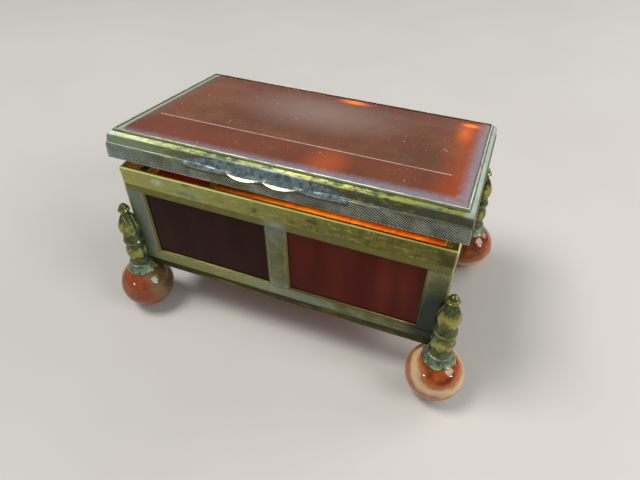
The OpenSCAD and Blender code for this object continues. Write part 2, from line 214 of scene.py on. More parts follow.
class Shader:
    """A Principled material with short calls for the nodes that drive it. Lengths are in millimetres."""

    def __init__(self, name, **settings):
        self.material = bpy.data.materials.new(name)
        self.material.use_nodes = True
        self.tree = self.material.node_tree
        self.surface = self.tree.nodes["Principled BSDF"]
        for label, value in settings.items():
            self.set(label.replace("_", " ").title().replace("Ior", "IOR"), value)
        coords = self.new("ShaderNodeTexCoord")
        self.place = self.vector("SCALE", coords.outputs["Object"], scale=1 / MM)
        self.x, self.y, self.z = self.split(self.place)
        self.facing = self.split(coords.outputs["Normal"])

    def new(self, kind, **properties):
        node = self.tree.nodes.new(kind)
        for key, value in properties.items():
            setattr(node, key, value)
        return node

    def feed(self, socket, value):
        if isinstance(value, bpy.types.NodeSocket):
            self.tree.links.new(value, socket)
        else:
            socket.default_value = value

    def set(self, label, value):
        """Feeds one input of the surface, with a plain value or from a node."""
        self.feed(self.surface.inputs[label], value)

    def split(self, vector):
        node = self.new("ShaderNodeSeparateXYZ")
        self.feed(node.inputs[0], vector)
        return tuple(node.outputs)

    def vector(self, operation, a, b=None, scale=None):
        node = self.new("ShaderNodeVectorMath", operation=operation)
        self.feed(node.inputs[0], a)
        if b is not None:
            self.feed(node.inputs[1], b)
        if scale is not None:
            self.feed(node.inputs["Scale"], scale)
        return node.outputs[0]

    def maths(self, operation, a, b=0.0, clamp=False):
        node = self.new("ShaderNodeMath", operation=operation, use_clamp=clamp)
        self.feed(node.inputs[0], a)
        self.feed(node.inputs[1], b)
        return node.outputs[0]

    def ramp(self, value, low, high, to_low=0.0, to_high=1.0):
        node = self.new("ShaderNodeMapRange", interpolation_type="SMOOTHSTEP")
        for socket, number in zip(node.inputs, (value, low, high, to_low, to_high)):
            self.feed(socket, number)
        return node.outputs[0]

    def plus(self, a, b):
        return self.maths("ADD", a, b)

    def minus(self, a, b):
        return self.maths("SUBTRACT", a, b)

    def absolute(self, value):
        return self.maths("ABSOLUTE", value)

    def both(self, *factors):
        return reduce(lambda a, b: self.maths("MULTIPLY", a, b), factors)

    def either(self, *factors):
        return reduce(lambda a, b: self.maths("MAXIMUM", a, b), factors)

    def noise(self, size, detail=4.0, rough=0.55, stretch=(1, 1, 1), seed=0.0):
        """Noise between 0 and 1 whose features are about the given size, stretched along each axis."""
        node = self.new("ShaderNodeTexNoise")
        spot = self.vector("MULTIPLY", self.place, [1 / (size * s) for s in stretch])
        self.feed(node.inputs["Vector"], self.vector("ADD", spot, (seed, -seed, 3 * seed)))
        node.inputs["Scale"].default_value = 1.0
        node.inputs["Detail"].default_value = detail
        node.inputs["Roughness"].default_value = rough
        return node.outputs["Fac"]

    def patch(self, size, low, high, to_low=0.0, to_high=1.0, **settings):
        """Patches of noise of the given size, ramped between low and high."""
        return self.ramp(self.noise(size, **settings), low, high, to_low, to_high)

    def specks(self, spacing, size, seed=0.0):
        """Small round specks, 1 inside and 0 outside, about spacing apart."""
        node = self.new("ShaderNodeTexVoronoi")
        spot = self.vector("ADD", self.vector("SCALE", self.place, scale=1 / spacing), (seed, seed, seed))
        self.feed(node.inputs["Vector"], spot)
        node.inputs["Scale"].default_value = 1.0
        return self.ramp(node.outputs["Distance"], 0.6 * size / spacing, size / spacing, 1.0, 0.0)

    def near(self, centre, radii, soft=0.5):
        """1 near a place, falling to 0 at its radii; soft is the share of the radius it fades over."""
        away = self.vector("SUBTRACT", self.place, centre)
        away = self.vector("MULTIPLY", away, [1 / r for r in radii])
        node = self.new("ShaderNodeVectorMath", operation="LENGTH")
        self.feed(node.inputs[0], away)
        return self.ramp(node.outputs["Value"], 1 - soft, 1.0, 1.0, 0.0)

    def stored(self, name):
        node = self.new("ShaderNodeAttribute", attribute_name=name)
        return node.outputs["Fac"]

    def mix(self, factor, a, b):
        node = self.new("ShaderNodeMix", data_type="RGBA")
        sockets = [s for s in node.inputs if s.enabled]
        self.feed(sockets[0], factor)
        self.feed(sockets[1], a)
        self.feed(sockets[2], b)
        return next(s for s in node.outputs if s.enabled)

    def coat(self, tint, *factors):
        """Lays a tint over the colour so far, where the product of the factors is above 0."""
        self.colour = self.mix(self.both(*factors), self.colour, tint)

    def done(self, roughness=None, height=None, depth=0.01, transmission=None):
        """Links what varies over the surface; depth is how deep the bump of a height of 1 is."""
        for label, value in (("Base Color", self.colour), ("Roughness", roughness),
                             ("Transmission Weight", transmission)):
            if value is not None:
                self.set(label, value)
        if height is not None:
            bump = self.new("ShaderNodeBump")
            bump.inputs["Distance"].default_value = depth * MM
            self.feed(bump.inputs["Height"], height)
            self.set("Normal", bump.outputs[0])
        return self.material


# ---- finishes: brass

GOLD = srgb(188, 170, 78)
PALE_GOLD = srgb(232, 222, 150)
OLIVE = srgb(112, 104, 48)
BROWN = srgb(84, 70, 38)
SLATE = srgb(84, 94, 96)
TEAL = srgb(128, 164, 150)
CHALK = srgb(196, 206, 190)
BRASS_METAL = 0.82


def brass(name, light, dark, cover, seed, metallic=BRASS_METAL, grain=(6, 1, 1)):
    """A brass Shader, its tarnish and its fine grain; the dark colour covers that share of the light."""
    mat = Shader(name, metallic=metallic)
    broad = mat.noise(3.2, detail=5, stretch=grain, seed=seed)
    fine = mat.noise(0.5, stretch=grain, seed=seed + 7)
    level = mat.plus(mat.both(broad, 0.7), mat.both(fine, 0.3))
    tarnish = mat.ramp(level, 0.62 - 0.3 * cover, 0.76 - 0.3 * cover, 1.0, 0.0)
    warm = mat.mix(mat.noise(1.4, detail=3, stretch=grain, seed=seed + 3), light, OLIVE)
    mat.colour = mat.mix(tarnish, warm, dark)
    return mat, tarnish, fine


def corner_wear_and_highlight(mat):
    """Paints the upright corners of the case pale gold: partly wear, partly a painted highlight where
    they catch the light.
    """
    sides = [(mat.x, rim_high.x), (mat.y, rim_high.y)]
    corner = mat.both(*[mat.ramp(mat.absolute(c), half - 0.5, half - 0.15) for c, half in sides])
    rubbed = mat.patch(1.5, 0.3, 0.55, 0.4, 1.0, stretch=(1, 1, 4), seed=17)
    # painted highlight and wear: pale gold along each upright corner, broken up in streaks
    mat.coat(srgb(238, 226, 158), corner, rubbed)


def finish_brass(mat, tarnish, fine, smooth=0.24, dull=0.5, depth=0.012):
    rough = mat.plus(mat.ramp(tarnish, 0, 1, smooth, dull), mat.both(fine, 0.12))
    return mat.done(rough, fine, depth)


def lid_band_brass():
    """Smooth band of the lid: dark tarnish on the upright face, rubbed gold along the shoulder."""
    mat, tarnish, fine = brass("lid_band_brass", GOLD, SLATE, 0.5, 1.0)
    ragged = mat.both(mat.noise(1.1, detail=6, rough=0.65, stretch=(4, 1, 1), seed=4), 1.8)
    height = mat.minus(mat.z, band_low.z)
    shoulder = mat.ramp(mat.plus(height, ragged), 2.6, 2.95)
    stained = mat.noise(2.2, detail=3, stretch=(4, 1, 1), seed=9)
    dark_face = mat.mix(stained, srgb(62, 68, 62), srgb(88, 84, 44))
    flecks = mat.patch(0.7, 0.5, 0.6, detail=6, rough=0.65, stretch=(3, 1, 1), seed=19)
    flecks = mat.both(flecks, mat.ramp(mat.x, -band_low.x - 3, -band_low.x - 9, 0.1, 0.7))
    dark_face = mat.mix(flecks, dark_face, srgb(132, 128, 62))
    mat.coat(dark_face, 0.85, mat.ramp(height, 1.9, 1.5))
    moss = mat.patch(0.8, 0.42, 0.56, detail=6, rough=0.65, stretch=(2.2, 1, 1), seed=6)
    gilt = mat.mix(moss, srgb(56, 66, 46), srgb(126, 132, 60))
    mat.coat(gilt, shoulder, 0.95)
    gloss = mat.noise(1.7, stretch=(5, 1, 1), seed=12)
    mat.coat(PALE_GOLD, shoulder, moss, mat.ramp(gloss, 0.56, 0.8, 0, 0.55))
    pale_end = mat.ramp(mat.x, -10, band_low.x, 0, 0.6)
    mat.coat(srgb(150, 164, 140), pale_end)
    edge = mat.ramp(height, 0.3, 0.14)
    mat.coat(CHALK, edge, mat.ramp(gloss, 0.4, 0.7), 0.35)
    ends = mat.ramp(mat.absolute(mat.x), -band_low.x - 2.2, -band_low.x - 1.2)
    film = mat.both(ends, mat.ramp(height, 1.4, 2.0), mat.ramp(gloss, 0.3, 0.5, 0.5, 0.9))
    mat.coat(srgb(158, 178, 166), film)
    catch = mat.near((thumb_mid, band_low.y, band_low.z), (thumb_half + 1.2, 3, 2.3), 0.14)
    pitted = pitted_colour(mat)
    mat.coat(pitted, catch)
    tarnish = mat.either(tarnish, catch)
    mat.set("Metallic", mat.ramp(film, 0, 1, BRASS_METAL, 0.3))
    return finish_brass(mat, tarnish, fine, smooth=0.28, dull=0.45)


def turned_brass(name, light, dark, seed, walls=False):
    """Engine-turned brass: pale ridges over dirty grooves. On the walls, bare borders and tints too."""
    mat = Shader(name, metallic=0.7)
    groove = mat.stored("relief")
    patch = mat.noise(4.0, seed=seed)
    ridge = mat.mix(mat.ramp(patch, 0.4, 0.7, 0, 0.6), light, OLIVE)
    clogged = mat.patch(2.4, 0.45, 0.65, 1.0, 0.62, detail=5, seed=seed + 6)
    dirt = mat.both(mat.ramp(groove, 0.1, 0.7), clogged)
    mat.colour = mat.mix(dirt, ridge, dark)
    pale_end = mat.ramp(mat.x, -20, skirt_low.x, 0, 0.75)
    mat.coat(srgb(156, 176, 168), pale_end, mat.ramp(groove, 0, 1, 1, 0.1))
    ridges = mat.ramp(groove, 0, 1, 1, 0.12)
    if walls:
        rail = mat.near((rim_low.x + 16, rim_low.y, base_high.z + 1), (24, 4, 5), 0.5)
        mat.coat(srgb(188, 190, 120), rail, ridges, 0.7)
        middle = mat.near((2, rim_low.y, base_high.z + 1), (14, 4, 5), 0.6)
        mat.coat(srgb(168, 184, 164), middle, ridges, 0.6)
        bare = mat.mix(mat.noise(1.5, seed=seed + 2), srgb(126, 120, 58), srgb(82, 84, 46))
        mat.coat(bare, mat.ramp(groove, -0.7, -0.3, 1.0, 0.0))
        top = mat.near((0, rim_low.y, panel_high.z), (3.4, 2, 6.5), 0.9)
        mat.coat(srgb(156, 172, 164), top, ridges, 0.5)
        shade = mat.near((rim_high.x - 1.5, rim_low.y, base_high.z + 5), (6.5, 3, 14), 0.55)
        mat.coat(srgb(34, 50, 44), shade, 0.9)
        corner_wear_and_highlight(mat)
    rough = mat.ramp(groove, 0, 1, 0.3, 0.6)
    return mat.done(rough, mat.noise(0.12, detail=2, seed=seed), 0.006)


def rim_brass():
    """Plain band round the mouth: mottled olive gold with stains, pale spots and a painted highlight
    along its outer top edge.
    """
    mat, tarnish, fine = brass("rim_brass", srgb(186, 178, 80), srgb(118, 112, 52), 0.3, 31.0)
    brushed = mat.noise(0.16, detail=3, stretch=(26, 26, 1), seed=39)
    mat.coat(srgb(112, 100, 46), mat.ramp(brushed, 0.5, 0.72, 0, 0.6))
    mottle = mat.noise(0.8, detail=5, stretch=(2.2, 2.2, 1), seed=42)
    mat.coat(srgb(76, 76, 42), mat.ramp(mottle, 0.5, 0.64, 0, 0.75))
    mat.coat(srgb(200, 196, 112), mat.ramp(mottle, 0.44, 0.32, 0, 0.6))
    upright = mat.noise(0.35, detail=3, stretch=(1, 1, 10), seed=53)
    upright = mat.both(mat.ramp(upright, 0.48, 0.62), mat.ramp(mat.x, -4, 12, 0.1, 0.6))
    mat.coat(srgb(88, 90, 38), upright)
    pale_end = mat.ramp(mat.x, 24, rim_low.x + 8, 0, 0.6)
    mat.coat(srgb(186, 188, 116), pale_end)
    stain = mat.patch(2.6, 0.58, 0.72, stretch=(1.6, 1, 1), seed=44)
    mat.coat(BROWN, stain, 0.6)
    left, front, top = rim_low.x, rim_low.y, rim_high.z
    breakup = mat.patch(0.8, 0.3, 0.6, seed=50)
    blot = srgb(62, 56, 40)
    for tint, share, along, down, wide, tall, soft in (
        (TEAL, 0.8, 15.5, 2.3, 6.0, 1.2, 1.0), (CHALK, 0.85, 8.6, 1.6, 2.4, 1.1, 0.95),
        (blot, 0.8, 37.5, 2.6, 1.5, 0.7, 0.8), (blot, 0.8, 41.5, 1.4, 2.2, 0.7, 0.8),
        (blot, 0.8, 43.0, 3.1, 1.2, 0.7, 0.8), (blot, 0.8, 30.0, 2.2, 1.0, 0.7, 0.8),
    ):
        spot = mat.near((left + along, front, top - down), (wide, 1, tall), soft)
        mat.coat(tint, spot, breakup, share)
    right_end = mat.ramp(mat.x, -left - 4.2, -left - 3.0)
    dark = mat.both(right_end, mat.ramp(mat.z, top - 0.8, top - 1.3),
                    mat.ramp(mat.y, front + 1, front + 0.5))
    mat.coat(srgb(66, 60, 32), dark, 0.7)
    # painted highlight: a pale line along the outer top edge, brighter towards the left, with less metal
    # so it shows bright
    outer_x = mat.ramp(mat.absolute(mat.x), -left - 0.45, -left - 0.3)
    outer_y = mat.ramp(mat.absolute(mat.y), -front - 0.45, -front - 0.3)
    edge = mat.both(mat.ramp(mat.z, top - 0.26, top - 0.12), mat.either(outer_x, outer_y),
                    mat.ramp(mat.x, 30, -10, 0.55, 1.0))
    mat.coat(srgb(238, 246, 140), edge, 0.92)
    mat.set("Metallic", mat.ramp(edge, 0, 1, BRASS_METAL, 0.25))
    corner_wear_and_highlight(mat)
    return finish_brass(mat, tarnish, fine, smooth=0.22, dull=0.45)


def plain_brass(name, seed, light=GOLD, dark=OLIVE, cover=0.45):
    """Brass for what the box hides: even tarnish with few marks."""
    return finish_brass(*brass(name, light, dark, cover, seed), smooth=0.3, dull=0.55)


def lip_brass():
    """Thin folded strip round the lid stone, with a painted highlight along its folded top edge."""
    light, dark = srgb(176, 176, 100), srgb(108, 116, 80)
    mat, tarnish, fine = brass("lip_brass", light, dark, 0.45, 61.0, metallic=0.6)
    # painted highlight: a near-white line along the top of the fold, fainter towards the left end
    fold_highlight = mat.ramp(mat.z, lip_high.z - 0.06, lip_high.z - 0.01)
    fold_highlight = mat.both(fold_highlight, mat.ramp(mat.x, lip_low.x, 0, 0.35, 1.0))
    mat.coat(srgb(222, 226, 212), fold_highlight)
    return finish_brass(mat, tarnish, fine, smooth=0.16, dull=0.4)


def pitted_colour(mat):
    """Blue-grey pitted skin of the thumb piece, with paler grains."""
    cloud = mat.patch(0.9, 0.35, 0.65, detail=5, seed=21)
    skin = mat.mix(cloud, srgb(80, 95, 98), srgb(126, 140, 140))
    return mat.mix(mat.both(mat.specks(0.7, 0.12, 4.0), 0.6), skin, srgb(150, 166, 162))


def thumb_brass():
    """Thumb piece: pitted dark top; filed gold edges on the scallops, their facets lightened to near
    white as a painted highlight.
    """
    mat = Shader("thumb_brass", metallic=0.85)
    bright = mat.stored("relief")
    # painted highlight: the filed facets go from gold to near white where their relief is high
    facet_gold_and_highlight = mat.mix(mat.ramp(bright, 0.5, 0.9), srgb(206, 190, 84), srgb(255, 252, 236))
    mat.colour = mat.mix(mat.ramp(bright, 0.05, 0.4), pitted_colour(mat), facet_gold_and_highlight)
    under = mat.ramp(mat.z, thumb_high.z - 0.62, thumb_high.z - 0.5, 1.0, 0.0)
    mat.coat(srgb(92, 72, 36), under)
    rough = mat.ramp(bright, 0, 1, 0.45, 0.2)
    return mat.done(rough, mat.noise(0.25, detail=3, seed=25), 0.015)


def cast_brass():
    """Cast corner mounts: gilt on the swellings, verdigris and dirt in the hollows."""
    mat = Shader("cast_brass", metallic=0.8)
    crest = mat.stored("relief")
    patch = mat.noise(1.6, seed=71)
    gilt = mat.mix(mat.ramp(patch, 0.4, 0.65), srgb(164, 158, 74), srgb(96, 98, 50))
    hollow = mat.mix(mat.ramp(patch, 0.35, 0.7), srgb(42, 52, 36), srgb(78, 94, 66))
    level = mat.plus(crest, mat.ramp(patch, 0, 1, -0.4, 0.4))
    mat.colour = mat.mix(mat.ramp(level, 0.1, 0.85), hollow, gilt)
    inward = mat.ramp(mat.absolute(mat.x), foot_x - 0.6, foot_x - 2.0)
    film = mat.either(inward, mat.ramp(mat.z, cap_high.z + 2.2, cap_high.z, 0, 0.8))
    film = mat.both(film, mat.patch(0.8, 0.35, 0.6, detail=5, seed=78))
    mat.coat(srgb(106, 132, 110), film, 0.6)
    rough = mat.ramp(level, 0.2, 0.8, 0.4, 0.12)
    return mat.done(rough, mat.noise(0.3, seed=75), 0.02)


def verdigris_brass():
    """Flared caps: brass under a thin crust of verdigris, rubbed to gold along the lower edge."""
    mat = Shader("verdigris_brass", metallic=0.45)
    crust = mat.patch(0.9, 0.4, 0.58, detail=5, seed=81)
    under = mat.mix(mat.noise(0.5, detail=3, seed=84), srgb(122, 122, 58), srgb(40, 54, 48))
    tint = mat.mix(mat.noise(0.6, seed=87), srgb(66, 92, 88), srgb(138, 160, 142))
    mat.colour = mat.mix(mat.both(crust, 0.8), under, tint)
    rubbed = mat.both(mat.ramp(mat.z, cap_low.z + 0.7, cap_low.z + 0.3),
                      mat.patch(1.3, 0.48, 0.58, seed=89))
    mat.coat(srgb(206, 196, 92), rubbed, 0.85)
    rough = mat.ramp(crust, 0, 1, 0.24, 0.55)
    return mat.done(rough, crust, 0.03)


def pin_steel():
    """Dull drawn steel with fine lines along the pin."""
    mat = Shader("pin_steel", metallic=0.9)
    lines = mat.noise(0.1, detail=2, stretch=(40, 1, 1), seed=91)
    mat.colour = mat.mix(lines, srgb(120, 118, 112), srgb(160, 156, 148))
    return mat.done(mat.ramp(lines, 0, 1, 0.3, 0.5), lines, 0.004)


# ---- finishes: carnelian


def carnelian(name, deep, clear, clouds, seed, let_through, stretch=(1, 1, 2.5)):
    """A carnelian Shader, clear streaks through a deeper colour, and how much light it lets through."""
    mat = Shader(name, ior=1.54, roughness=0.08)
    mat.set("Specular IOR Level", 0.3)
    streak = mat.noise(clouds, detail=3, rough=0.5, stretch=stretch, seed=seed)
    wisps = mat.noise(clouds * 0.3, rough=0.6, stretch=stretch, seed=seed + 5)
    level = mat.plus(mat.both(streak, 0.75), mat.both(wisps, 0.25))
    factor = mat.ramp(level, 0.38, 0.62)
    through = mat.ramp(factor, 0, 1, 0.6 * let_through, let_through)
    mat.colour = mat.mix(factor, deep, clear)
    return mat, through


def panel_carnelian(name, deep, clear, seed, let_through, streaks=()):
    """A flat panel; streaks are the places along it, in millimetres, of soft upright lighter bands."""
    mat, through = carnelian(name, deep, clear, 5.0, seed, let_through, stretch=(1, 1, 4))
    mat.set("Specular IOR Level", 0.06)
    middle = (panel_low.z + panel_high.z) / 2
    for along, wide, share in streaks:
        streak = mat.near((along, rim_low.y, middle), (wide, 6, 14), 1.0)
        mat.coat(srgb(156, 58, 14), streak, share)
    smudge = mat.noise(2.5, seed=seed + 9)
    rough = mat.ramp(smudge, 0.3, 0.8, 0.06, 0.2)
    return mat.done(rough, smudge, 0.004, transmission=through)


def floor_carnelian(name, deep, clear, seed):
    """Stone floor of the case, dull, with painted shade darkening it towards the hinge."""
    mat, through = carnelian(name, deep, clear, 6.0, seed, 0.1)
    floor_noise = mat.both(mat.noise(3.0, seed=seed + 4), 1.2)
    # painted shade: the back of the floor, towards the hinge, dark red-brown with a ragged edge
    back = mat.ramp(mat.plus(mat.y, floor_noise), 7.4, 9.8)
    mat.coat(srgb(66, 20, 8), back, 0.92)
    return mat.done(0.3, floor_noise, 0.003, transmission=through)


def lid_carnelian():
    """Lid stone: hazy red-brown, filmed with dust, with painted reflection, painted glow and a painted
    ridge highlight.
    """
    mat, through = carnelian(
        "lid_carnelian", srgb(94, 58, 36), srgb(120, 74, 46), 16.0, 3.0, 0.05, stretch=(1, 1, 1)
    )
    mat.set("Specular IOR Level", 0.28)
    right, front, back, top = slab_high.x, slab_low.y, slab_high.y, slab_high.z
    from_front = mat.minus(mat.y, front)
    from_back = mat.minus(back, mat.y)
    from_right = mat.minus(right, mat.x)
    from_left = mat.plus(right, mat.x)
    end_in, side_in = TABLE_IN
    outer = mat.ramp(mat.z, slab_low.z + 0.3, slab_low.z + 0.7)
    cloud = mat.noise(9.0, seed=61)
    mat.coat(srgb(108, 52, 36), mat.ramp(cloud, 0.45, 0.7, 0, 0.4))
    mat.coat(srgb(106, 50, 38), mat.ramp(from_front, side_in, side_in - 0.4, 0, 0.5))
    mat.coat(srgb(116, 38, 20), mat.ramp(from_back, side_in, 0, 0, 0.6))
    mat.coat(srgb(168, 72, 26), mat.ramp(from_right, 9, 2, 0, 0.55))
    # painted glow: orange colour and emission where light comes through the stone, mostly near its back
    # edge
    caught = None
    for spot, radii, share in (
        ((right - 4.0, back - 3.4, top), (3.2, 2.2, 3), 1.0),
        ((right - 4.6, back - 9, top), (2.4, 9, 3), 0.45),
        ((3.4, back - 2.2, top), (5.6, 2.6, 3), 0.9),
        ((8.0, front + 4.2, top), (6.0, 7.5, 3), 0.24),
    ):
        lit = mat.both(mat.near(spot, radii, 1.0), share)
        mat.coat(srgb(255, 116, 10), lit)
        caught = lit if caught is None else mat.either(caught, lit)
    mat.set("Emission Color", srgb(255, 120, 10))
    mat.set("Emission Strength", mat.ramp(caught, 0.3, 1.0, 0.0, 0.8))
    # painted reflection: a pale grey-pink sheen of the bright surround over the middle of the top
    surround_reflection = mat.near((-1, 6, top), (24, 14, 3), 1.0)
    mat.coat(srgb(150, 126, 114), surround_reflection, outer, 0.62)
    ragged = mat.both(mat.noise(0.7, detail=6, rough=0.7, seed=15), 2.2)
    growing = mat.ramp(mat.x, -right, right, -0.3, 0.9)
    edge_in = mat.minus(mat.minus(from_front, ragged), growing)
    # blue-grey along the edges: partly a dust film, partly painted reflection of the bright surround;
    # paler and greener at the left end
    front_haze_and_reflection = mat.ramp(edge_in, 1.5, -1.0)
    right_haze_and_reflection = mat.ramp(mat.minus(from_right, ragged), 1.9, -0.6)
    left_haze_and_reflection = mat.ramp(mat.minus(from_left, mat.both(ragged, 0.4)), 1.2, 0.5)
    blotch = mat.near((right - 1.6, front + 3.1, top), (1.1, 1.0, 3), 0.5)
    dust_haze_and_reflection = mat.either(front_haze_and_reflection, right_haze_and_reflection, left_haze_and_reflection, blotch)
    dust_haze_and_reflection = mat.both(dust_haze_and_reflection, mat.patch(0.7, 0.2, 0.6, 0.5, 0.8, seed=18), outer)
    mat.coat(srgb(124, 130, 142), dust_haze_and_reflection)
    mat.coat(srgb(150, 168, 156), left_haze_and_reflection, outer, 0.8)
    dust = mat.either(mat.specks(0.8, 0.075, 2.0), mat.specks(2.4, 0.17, 5.0))
    dust = mat.both(dust, outer, mat.patch(5.0, 0.38, 0.56, detail=3, seed=27))
    mat.coat(srgb(222, 216, 214), dust, 0.8)
    cluster = mat.both(mat.near((-8, back - 6, top), (9, 5, 3), 0.8), mat.specks(1.9, 0.34, 9.0))
    mat.coat(srgb(150, 158, 190), cluster, outer, 0.75)
    # painted highlight: a pale line along the front ridge of the table, broken up in patches
    ridge_highlight = mat.ramp(mat.absolute(mat.minus(from_front, side_in)), 0.04, 0.12, 0.85, 0)
    along = mat.maths("MINIMUM", from_left, from_right)
    ridge_highlight = mat.both(ridge_highlight, mat.ramp(along, end_in - 0.2, end_in + 0.2))
    ridge_breakup = mat.patch(1.8, 0.25, 0.6, 0.45, 1.0, detail=5, seed=88)
    mat.coat(srgb(224, 212, 214), ridge_highlight, ridge_breakup, outer)
    film = mat.patch(4.0, 0.35, 0.75, detail=5, seed=33)
    rough = mat.either(mat.ramp(film, 0, 1, 0.22, 0.36), mat.both(mat.either(dust_haze_and_reflection, dust), 0.6))
    scratch = mat.noise(0.3, detail=2, stretch=(30, 1, 1), seed=36)
    clear = mat.minus(1.0, mat.either(dust_haze_and_reflection, dust))
    return mat.done(rough, scratch, 0.003, transmission=mat.both(through, clear))


def bead_carnelian(name, side_x, side_y, axis, bands):
    """One banded bead: bands are (place, softness, colour) along an axis, in radii from its middle."""
    mat = Shader(name, ior=1.54, roughness=0.06)
    radius = (bead_high.z - bead_low.z) / 2
    centre = Vector((side_x * foot_x, side_y * foot_y, bead_low.z + radius))
    away = mat.vector("SUBTRACT", mat.place, centre)
    lie = Vector(axis).normalized() / radius
    node = mat.new("ShaderNodeVectorMath", operation="DOT_PRODUCT")
    mat.feed(node.inputs[0], away)
    mat.feed(node.inputs[1], lie)
    warp = mat.patch(4.5, 0, 1, -0.2, 0.2, detail=3, seed=101)
    level = mat.plus(node.outputs["Value"], warp)
    cloud = mat.patch(3.0, 0.35, 0.65, detail=3, seed=104)
    mat.colour = mat.mix(cloud, srgb(160, 72, 6), srgb(104, 38, 3))
    for place, softness, tint in bands:
        beyond = mat.ramp(level, place - softness, place + softness)
        mat.coat(tint, beyond)
    veins = mat.patch(0.9, 0.5, 0.8, 0, 0.25, stretch=(1, 1, 3), seed=109)
    mat.coat(srgb(206, 140, 88), veins)
    return mat.done(mat.ramp(warp, -0.2, 0.2, 0.04, 0.12), veins, 0.004, transmission=0.15)


finishes = {
    "lid_band": lid_band_brass(),
    "lid_turned": turned_brass("lid_turned_brass", srgb(172, 180, 164), srgb(30, 34, 26), 2.0),
    "wall_turned": turned_brass("wall_turned_brass", srgb(158, 160, 118), srgb(48, 52, 30), 14.0, True),
    "rim": rim_brass(),
    "base": plain_brass("base_brass", 51.0, srgb(122, 112, 48), srgb(62, 60, 32)),
    "inner": plain_brass("inner_brass", 56.0),
    "hinge": plain_brass("hinge_brass", 58.0, srgb(150, 134, 72), srgb(90, 84, 48), 0.6),
    "lip": lip_brass(),
    "thumb": thumb_brass(),
    "cast": cast_brass(),
    "verdigris": verdigris_brass(),
    "peg": plain_brass("peg_brass", 59.0, PALE_GOLD, GOLD, 0.3),
    "pin": pin_steel(),
    "lid_stone": lid_carnelian(),
    "dark_stone": panel_carnelian("dark_carnelian", srgb(40, 14, 8), srgb(48, 18, 10), 41.0, 0.05),
    "red_stone": panel_carnelian("red_carnelian", srgb(76, 18, 8), srgb(88, 22, 8), 46.0, 0.1,
                                 ((13.5, 4.5, 0.12), (22.0, 2.8, 0.2), (26.0, 2.4, 0.16))),
    # the floor's bright orange is partly the stone's own colour and partly painted glow of light coming
    # through the stones
    "floor_stone": floor_carnelian("floor_carnelian", srgb(206, 92, 14), srgb(232, 140, 30), 49.0),
}

# ---- lid


def seamed(depth, wander, seed, fixed_beyond=100.0):
    """A shape for ring(): a slightly uneven surface with a groove of the given depth at each mitre."""
    def shape(_k, _j, t, place, inset, z):
        if inset > fixed_beyond:
            return inset, z
        inset += waver(place, 7.0, wander, seed)
        z += waver(place, 9.0, wander, seed + 5)
        if t == -1.0:
            inset += depth
            z -= depth * 0.6
        return inset, z
    return shape


def lid_band():
    """Smooth upper band of the lid, with a bead along its lower edge and a rubbed shoulder."""
    z0, top = band_low.z, band_high.z
    wall = skirt_high.x - rim_high.x - LID_GAP
    ledge_z0 = lip_low.z - 0.4
    outline = [
        (wall, z0), (0.02, z0), (0.02, z0 + 0.2), (0.16, z0 + 0.28), (0.33, top - 0.62),
        (1.02, top - 0.02), (1.12, top - 0.1), (LIP_OUT, top - 0.1), (LIP_OUT, lip_low.z), (3, lip_low.z),
        (3, ledge_z0), (wall, ledge_z0),
    ]
    radii = [0, 0.06, 0.09, 0.1, 0.2, 0.05, 0, 0, 0, 0, 0, 0]
    points, faces = ring(lid_half, fillet(outline, radii, 3), 1.0, seamed(0.09, 0.05, 1.0, 1.12))
    piece("lid_band", "lid", ["lid_frame"], "lid_band", points, faces, lid_pose)


ZIG = 0.37  # half the length of one zigzag of the engine turning
ZAG = 0.5  # its height
ROW = 0.24  # from a ridge to the groove beside it
GROOVE = 0.075  # depth of the grooves


def turned_row(j, count, column, low, high):
    """Height of ridge or groove line j at a column, kept between low and high."""
    z = low - ZAG + j * ROW + (column % 2) * ZAG
    spread = 0.002
    return min(max(z, low + spread * j), high - spread * (count - j))


def turned_count(low, high):
    return math.ceil((high - low + 2 * ZAG) / ROW)


def lid_skirt():
    """Skirt of the lid with its engine-turned zigzags cut as ridges and grooves."""
    z0, z1, margin = skirt_low.z, skirt_high.z, 0.06
    wall = skirt_high.x - rim_high.x - LID_GAP
    rows = turned_count(z0 + margin, z1 - margin)
    profile = [(wall, z0), (0.03, z0)] + [(0.0, z0)] * (rows + 1) + [(0.03, z1), (wall, z1)]

    def shape(k, j, _t, place, inset, z):
        row = j - 2
        if not 0 <= row <= rows:
            return inset, z
        deep = GROOVE if row % 2 else 0.0
        return deep + waver(place, 8.0, 0.03, 8.0), turned_row(row, rows, k, z0 + margin, z1 - margin)

    points, faces = ring(lid_half, profile, ZIG, shape)
    places = [n % len(profile) for n in range(len(points))]
    relief = [float(0 <= j - 2 <= rows and j % 2) for j in places]
    piece("lid_skirt_turned", "lid", ["lid_skirt"], "lid_turned",
          points, faces, lid_pose, sharp=60, relief=relief)


def lid_lip():
    """Thin strip folded by hand over the edge of the stone."""
    z0, top = lip_low.z, lip_high.z
    outline = [(LIP_OUT, z0), (LIP_OUT, top - 0.3), (1.36, top), (1.56, top + 0.03), (1.56, top - 0.06),
               (LIP_IN, top - 0.2), (LIP_IN, z0)]
    radii = [0, 0.12, 0.12, 0.03, 0.03, 0.05, 0]
    profile = fillet(outline, radii, 3)

    def shape(_k, _j, t, place, inset, z):
        if z > z0 + 0.5:
            z += waver(place, 1.6, 0.07, 3.0) - (0.06 if t == -1.0 else 0.0)
            inset += waver(place, 2.2, 0.06, 4.0)
        return inset, z

    points, faces = ring(lid_half, profile, 0.5, shape)
    piece("lid_lip", "lid", ["stone_bezel"], "lip", points, faces, lid_pose)


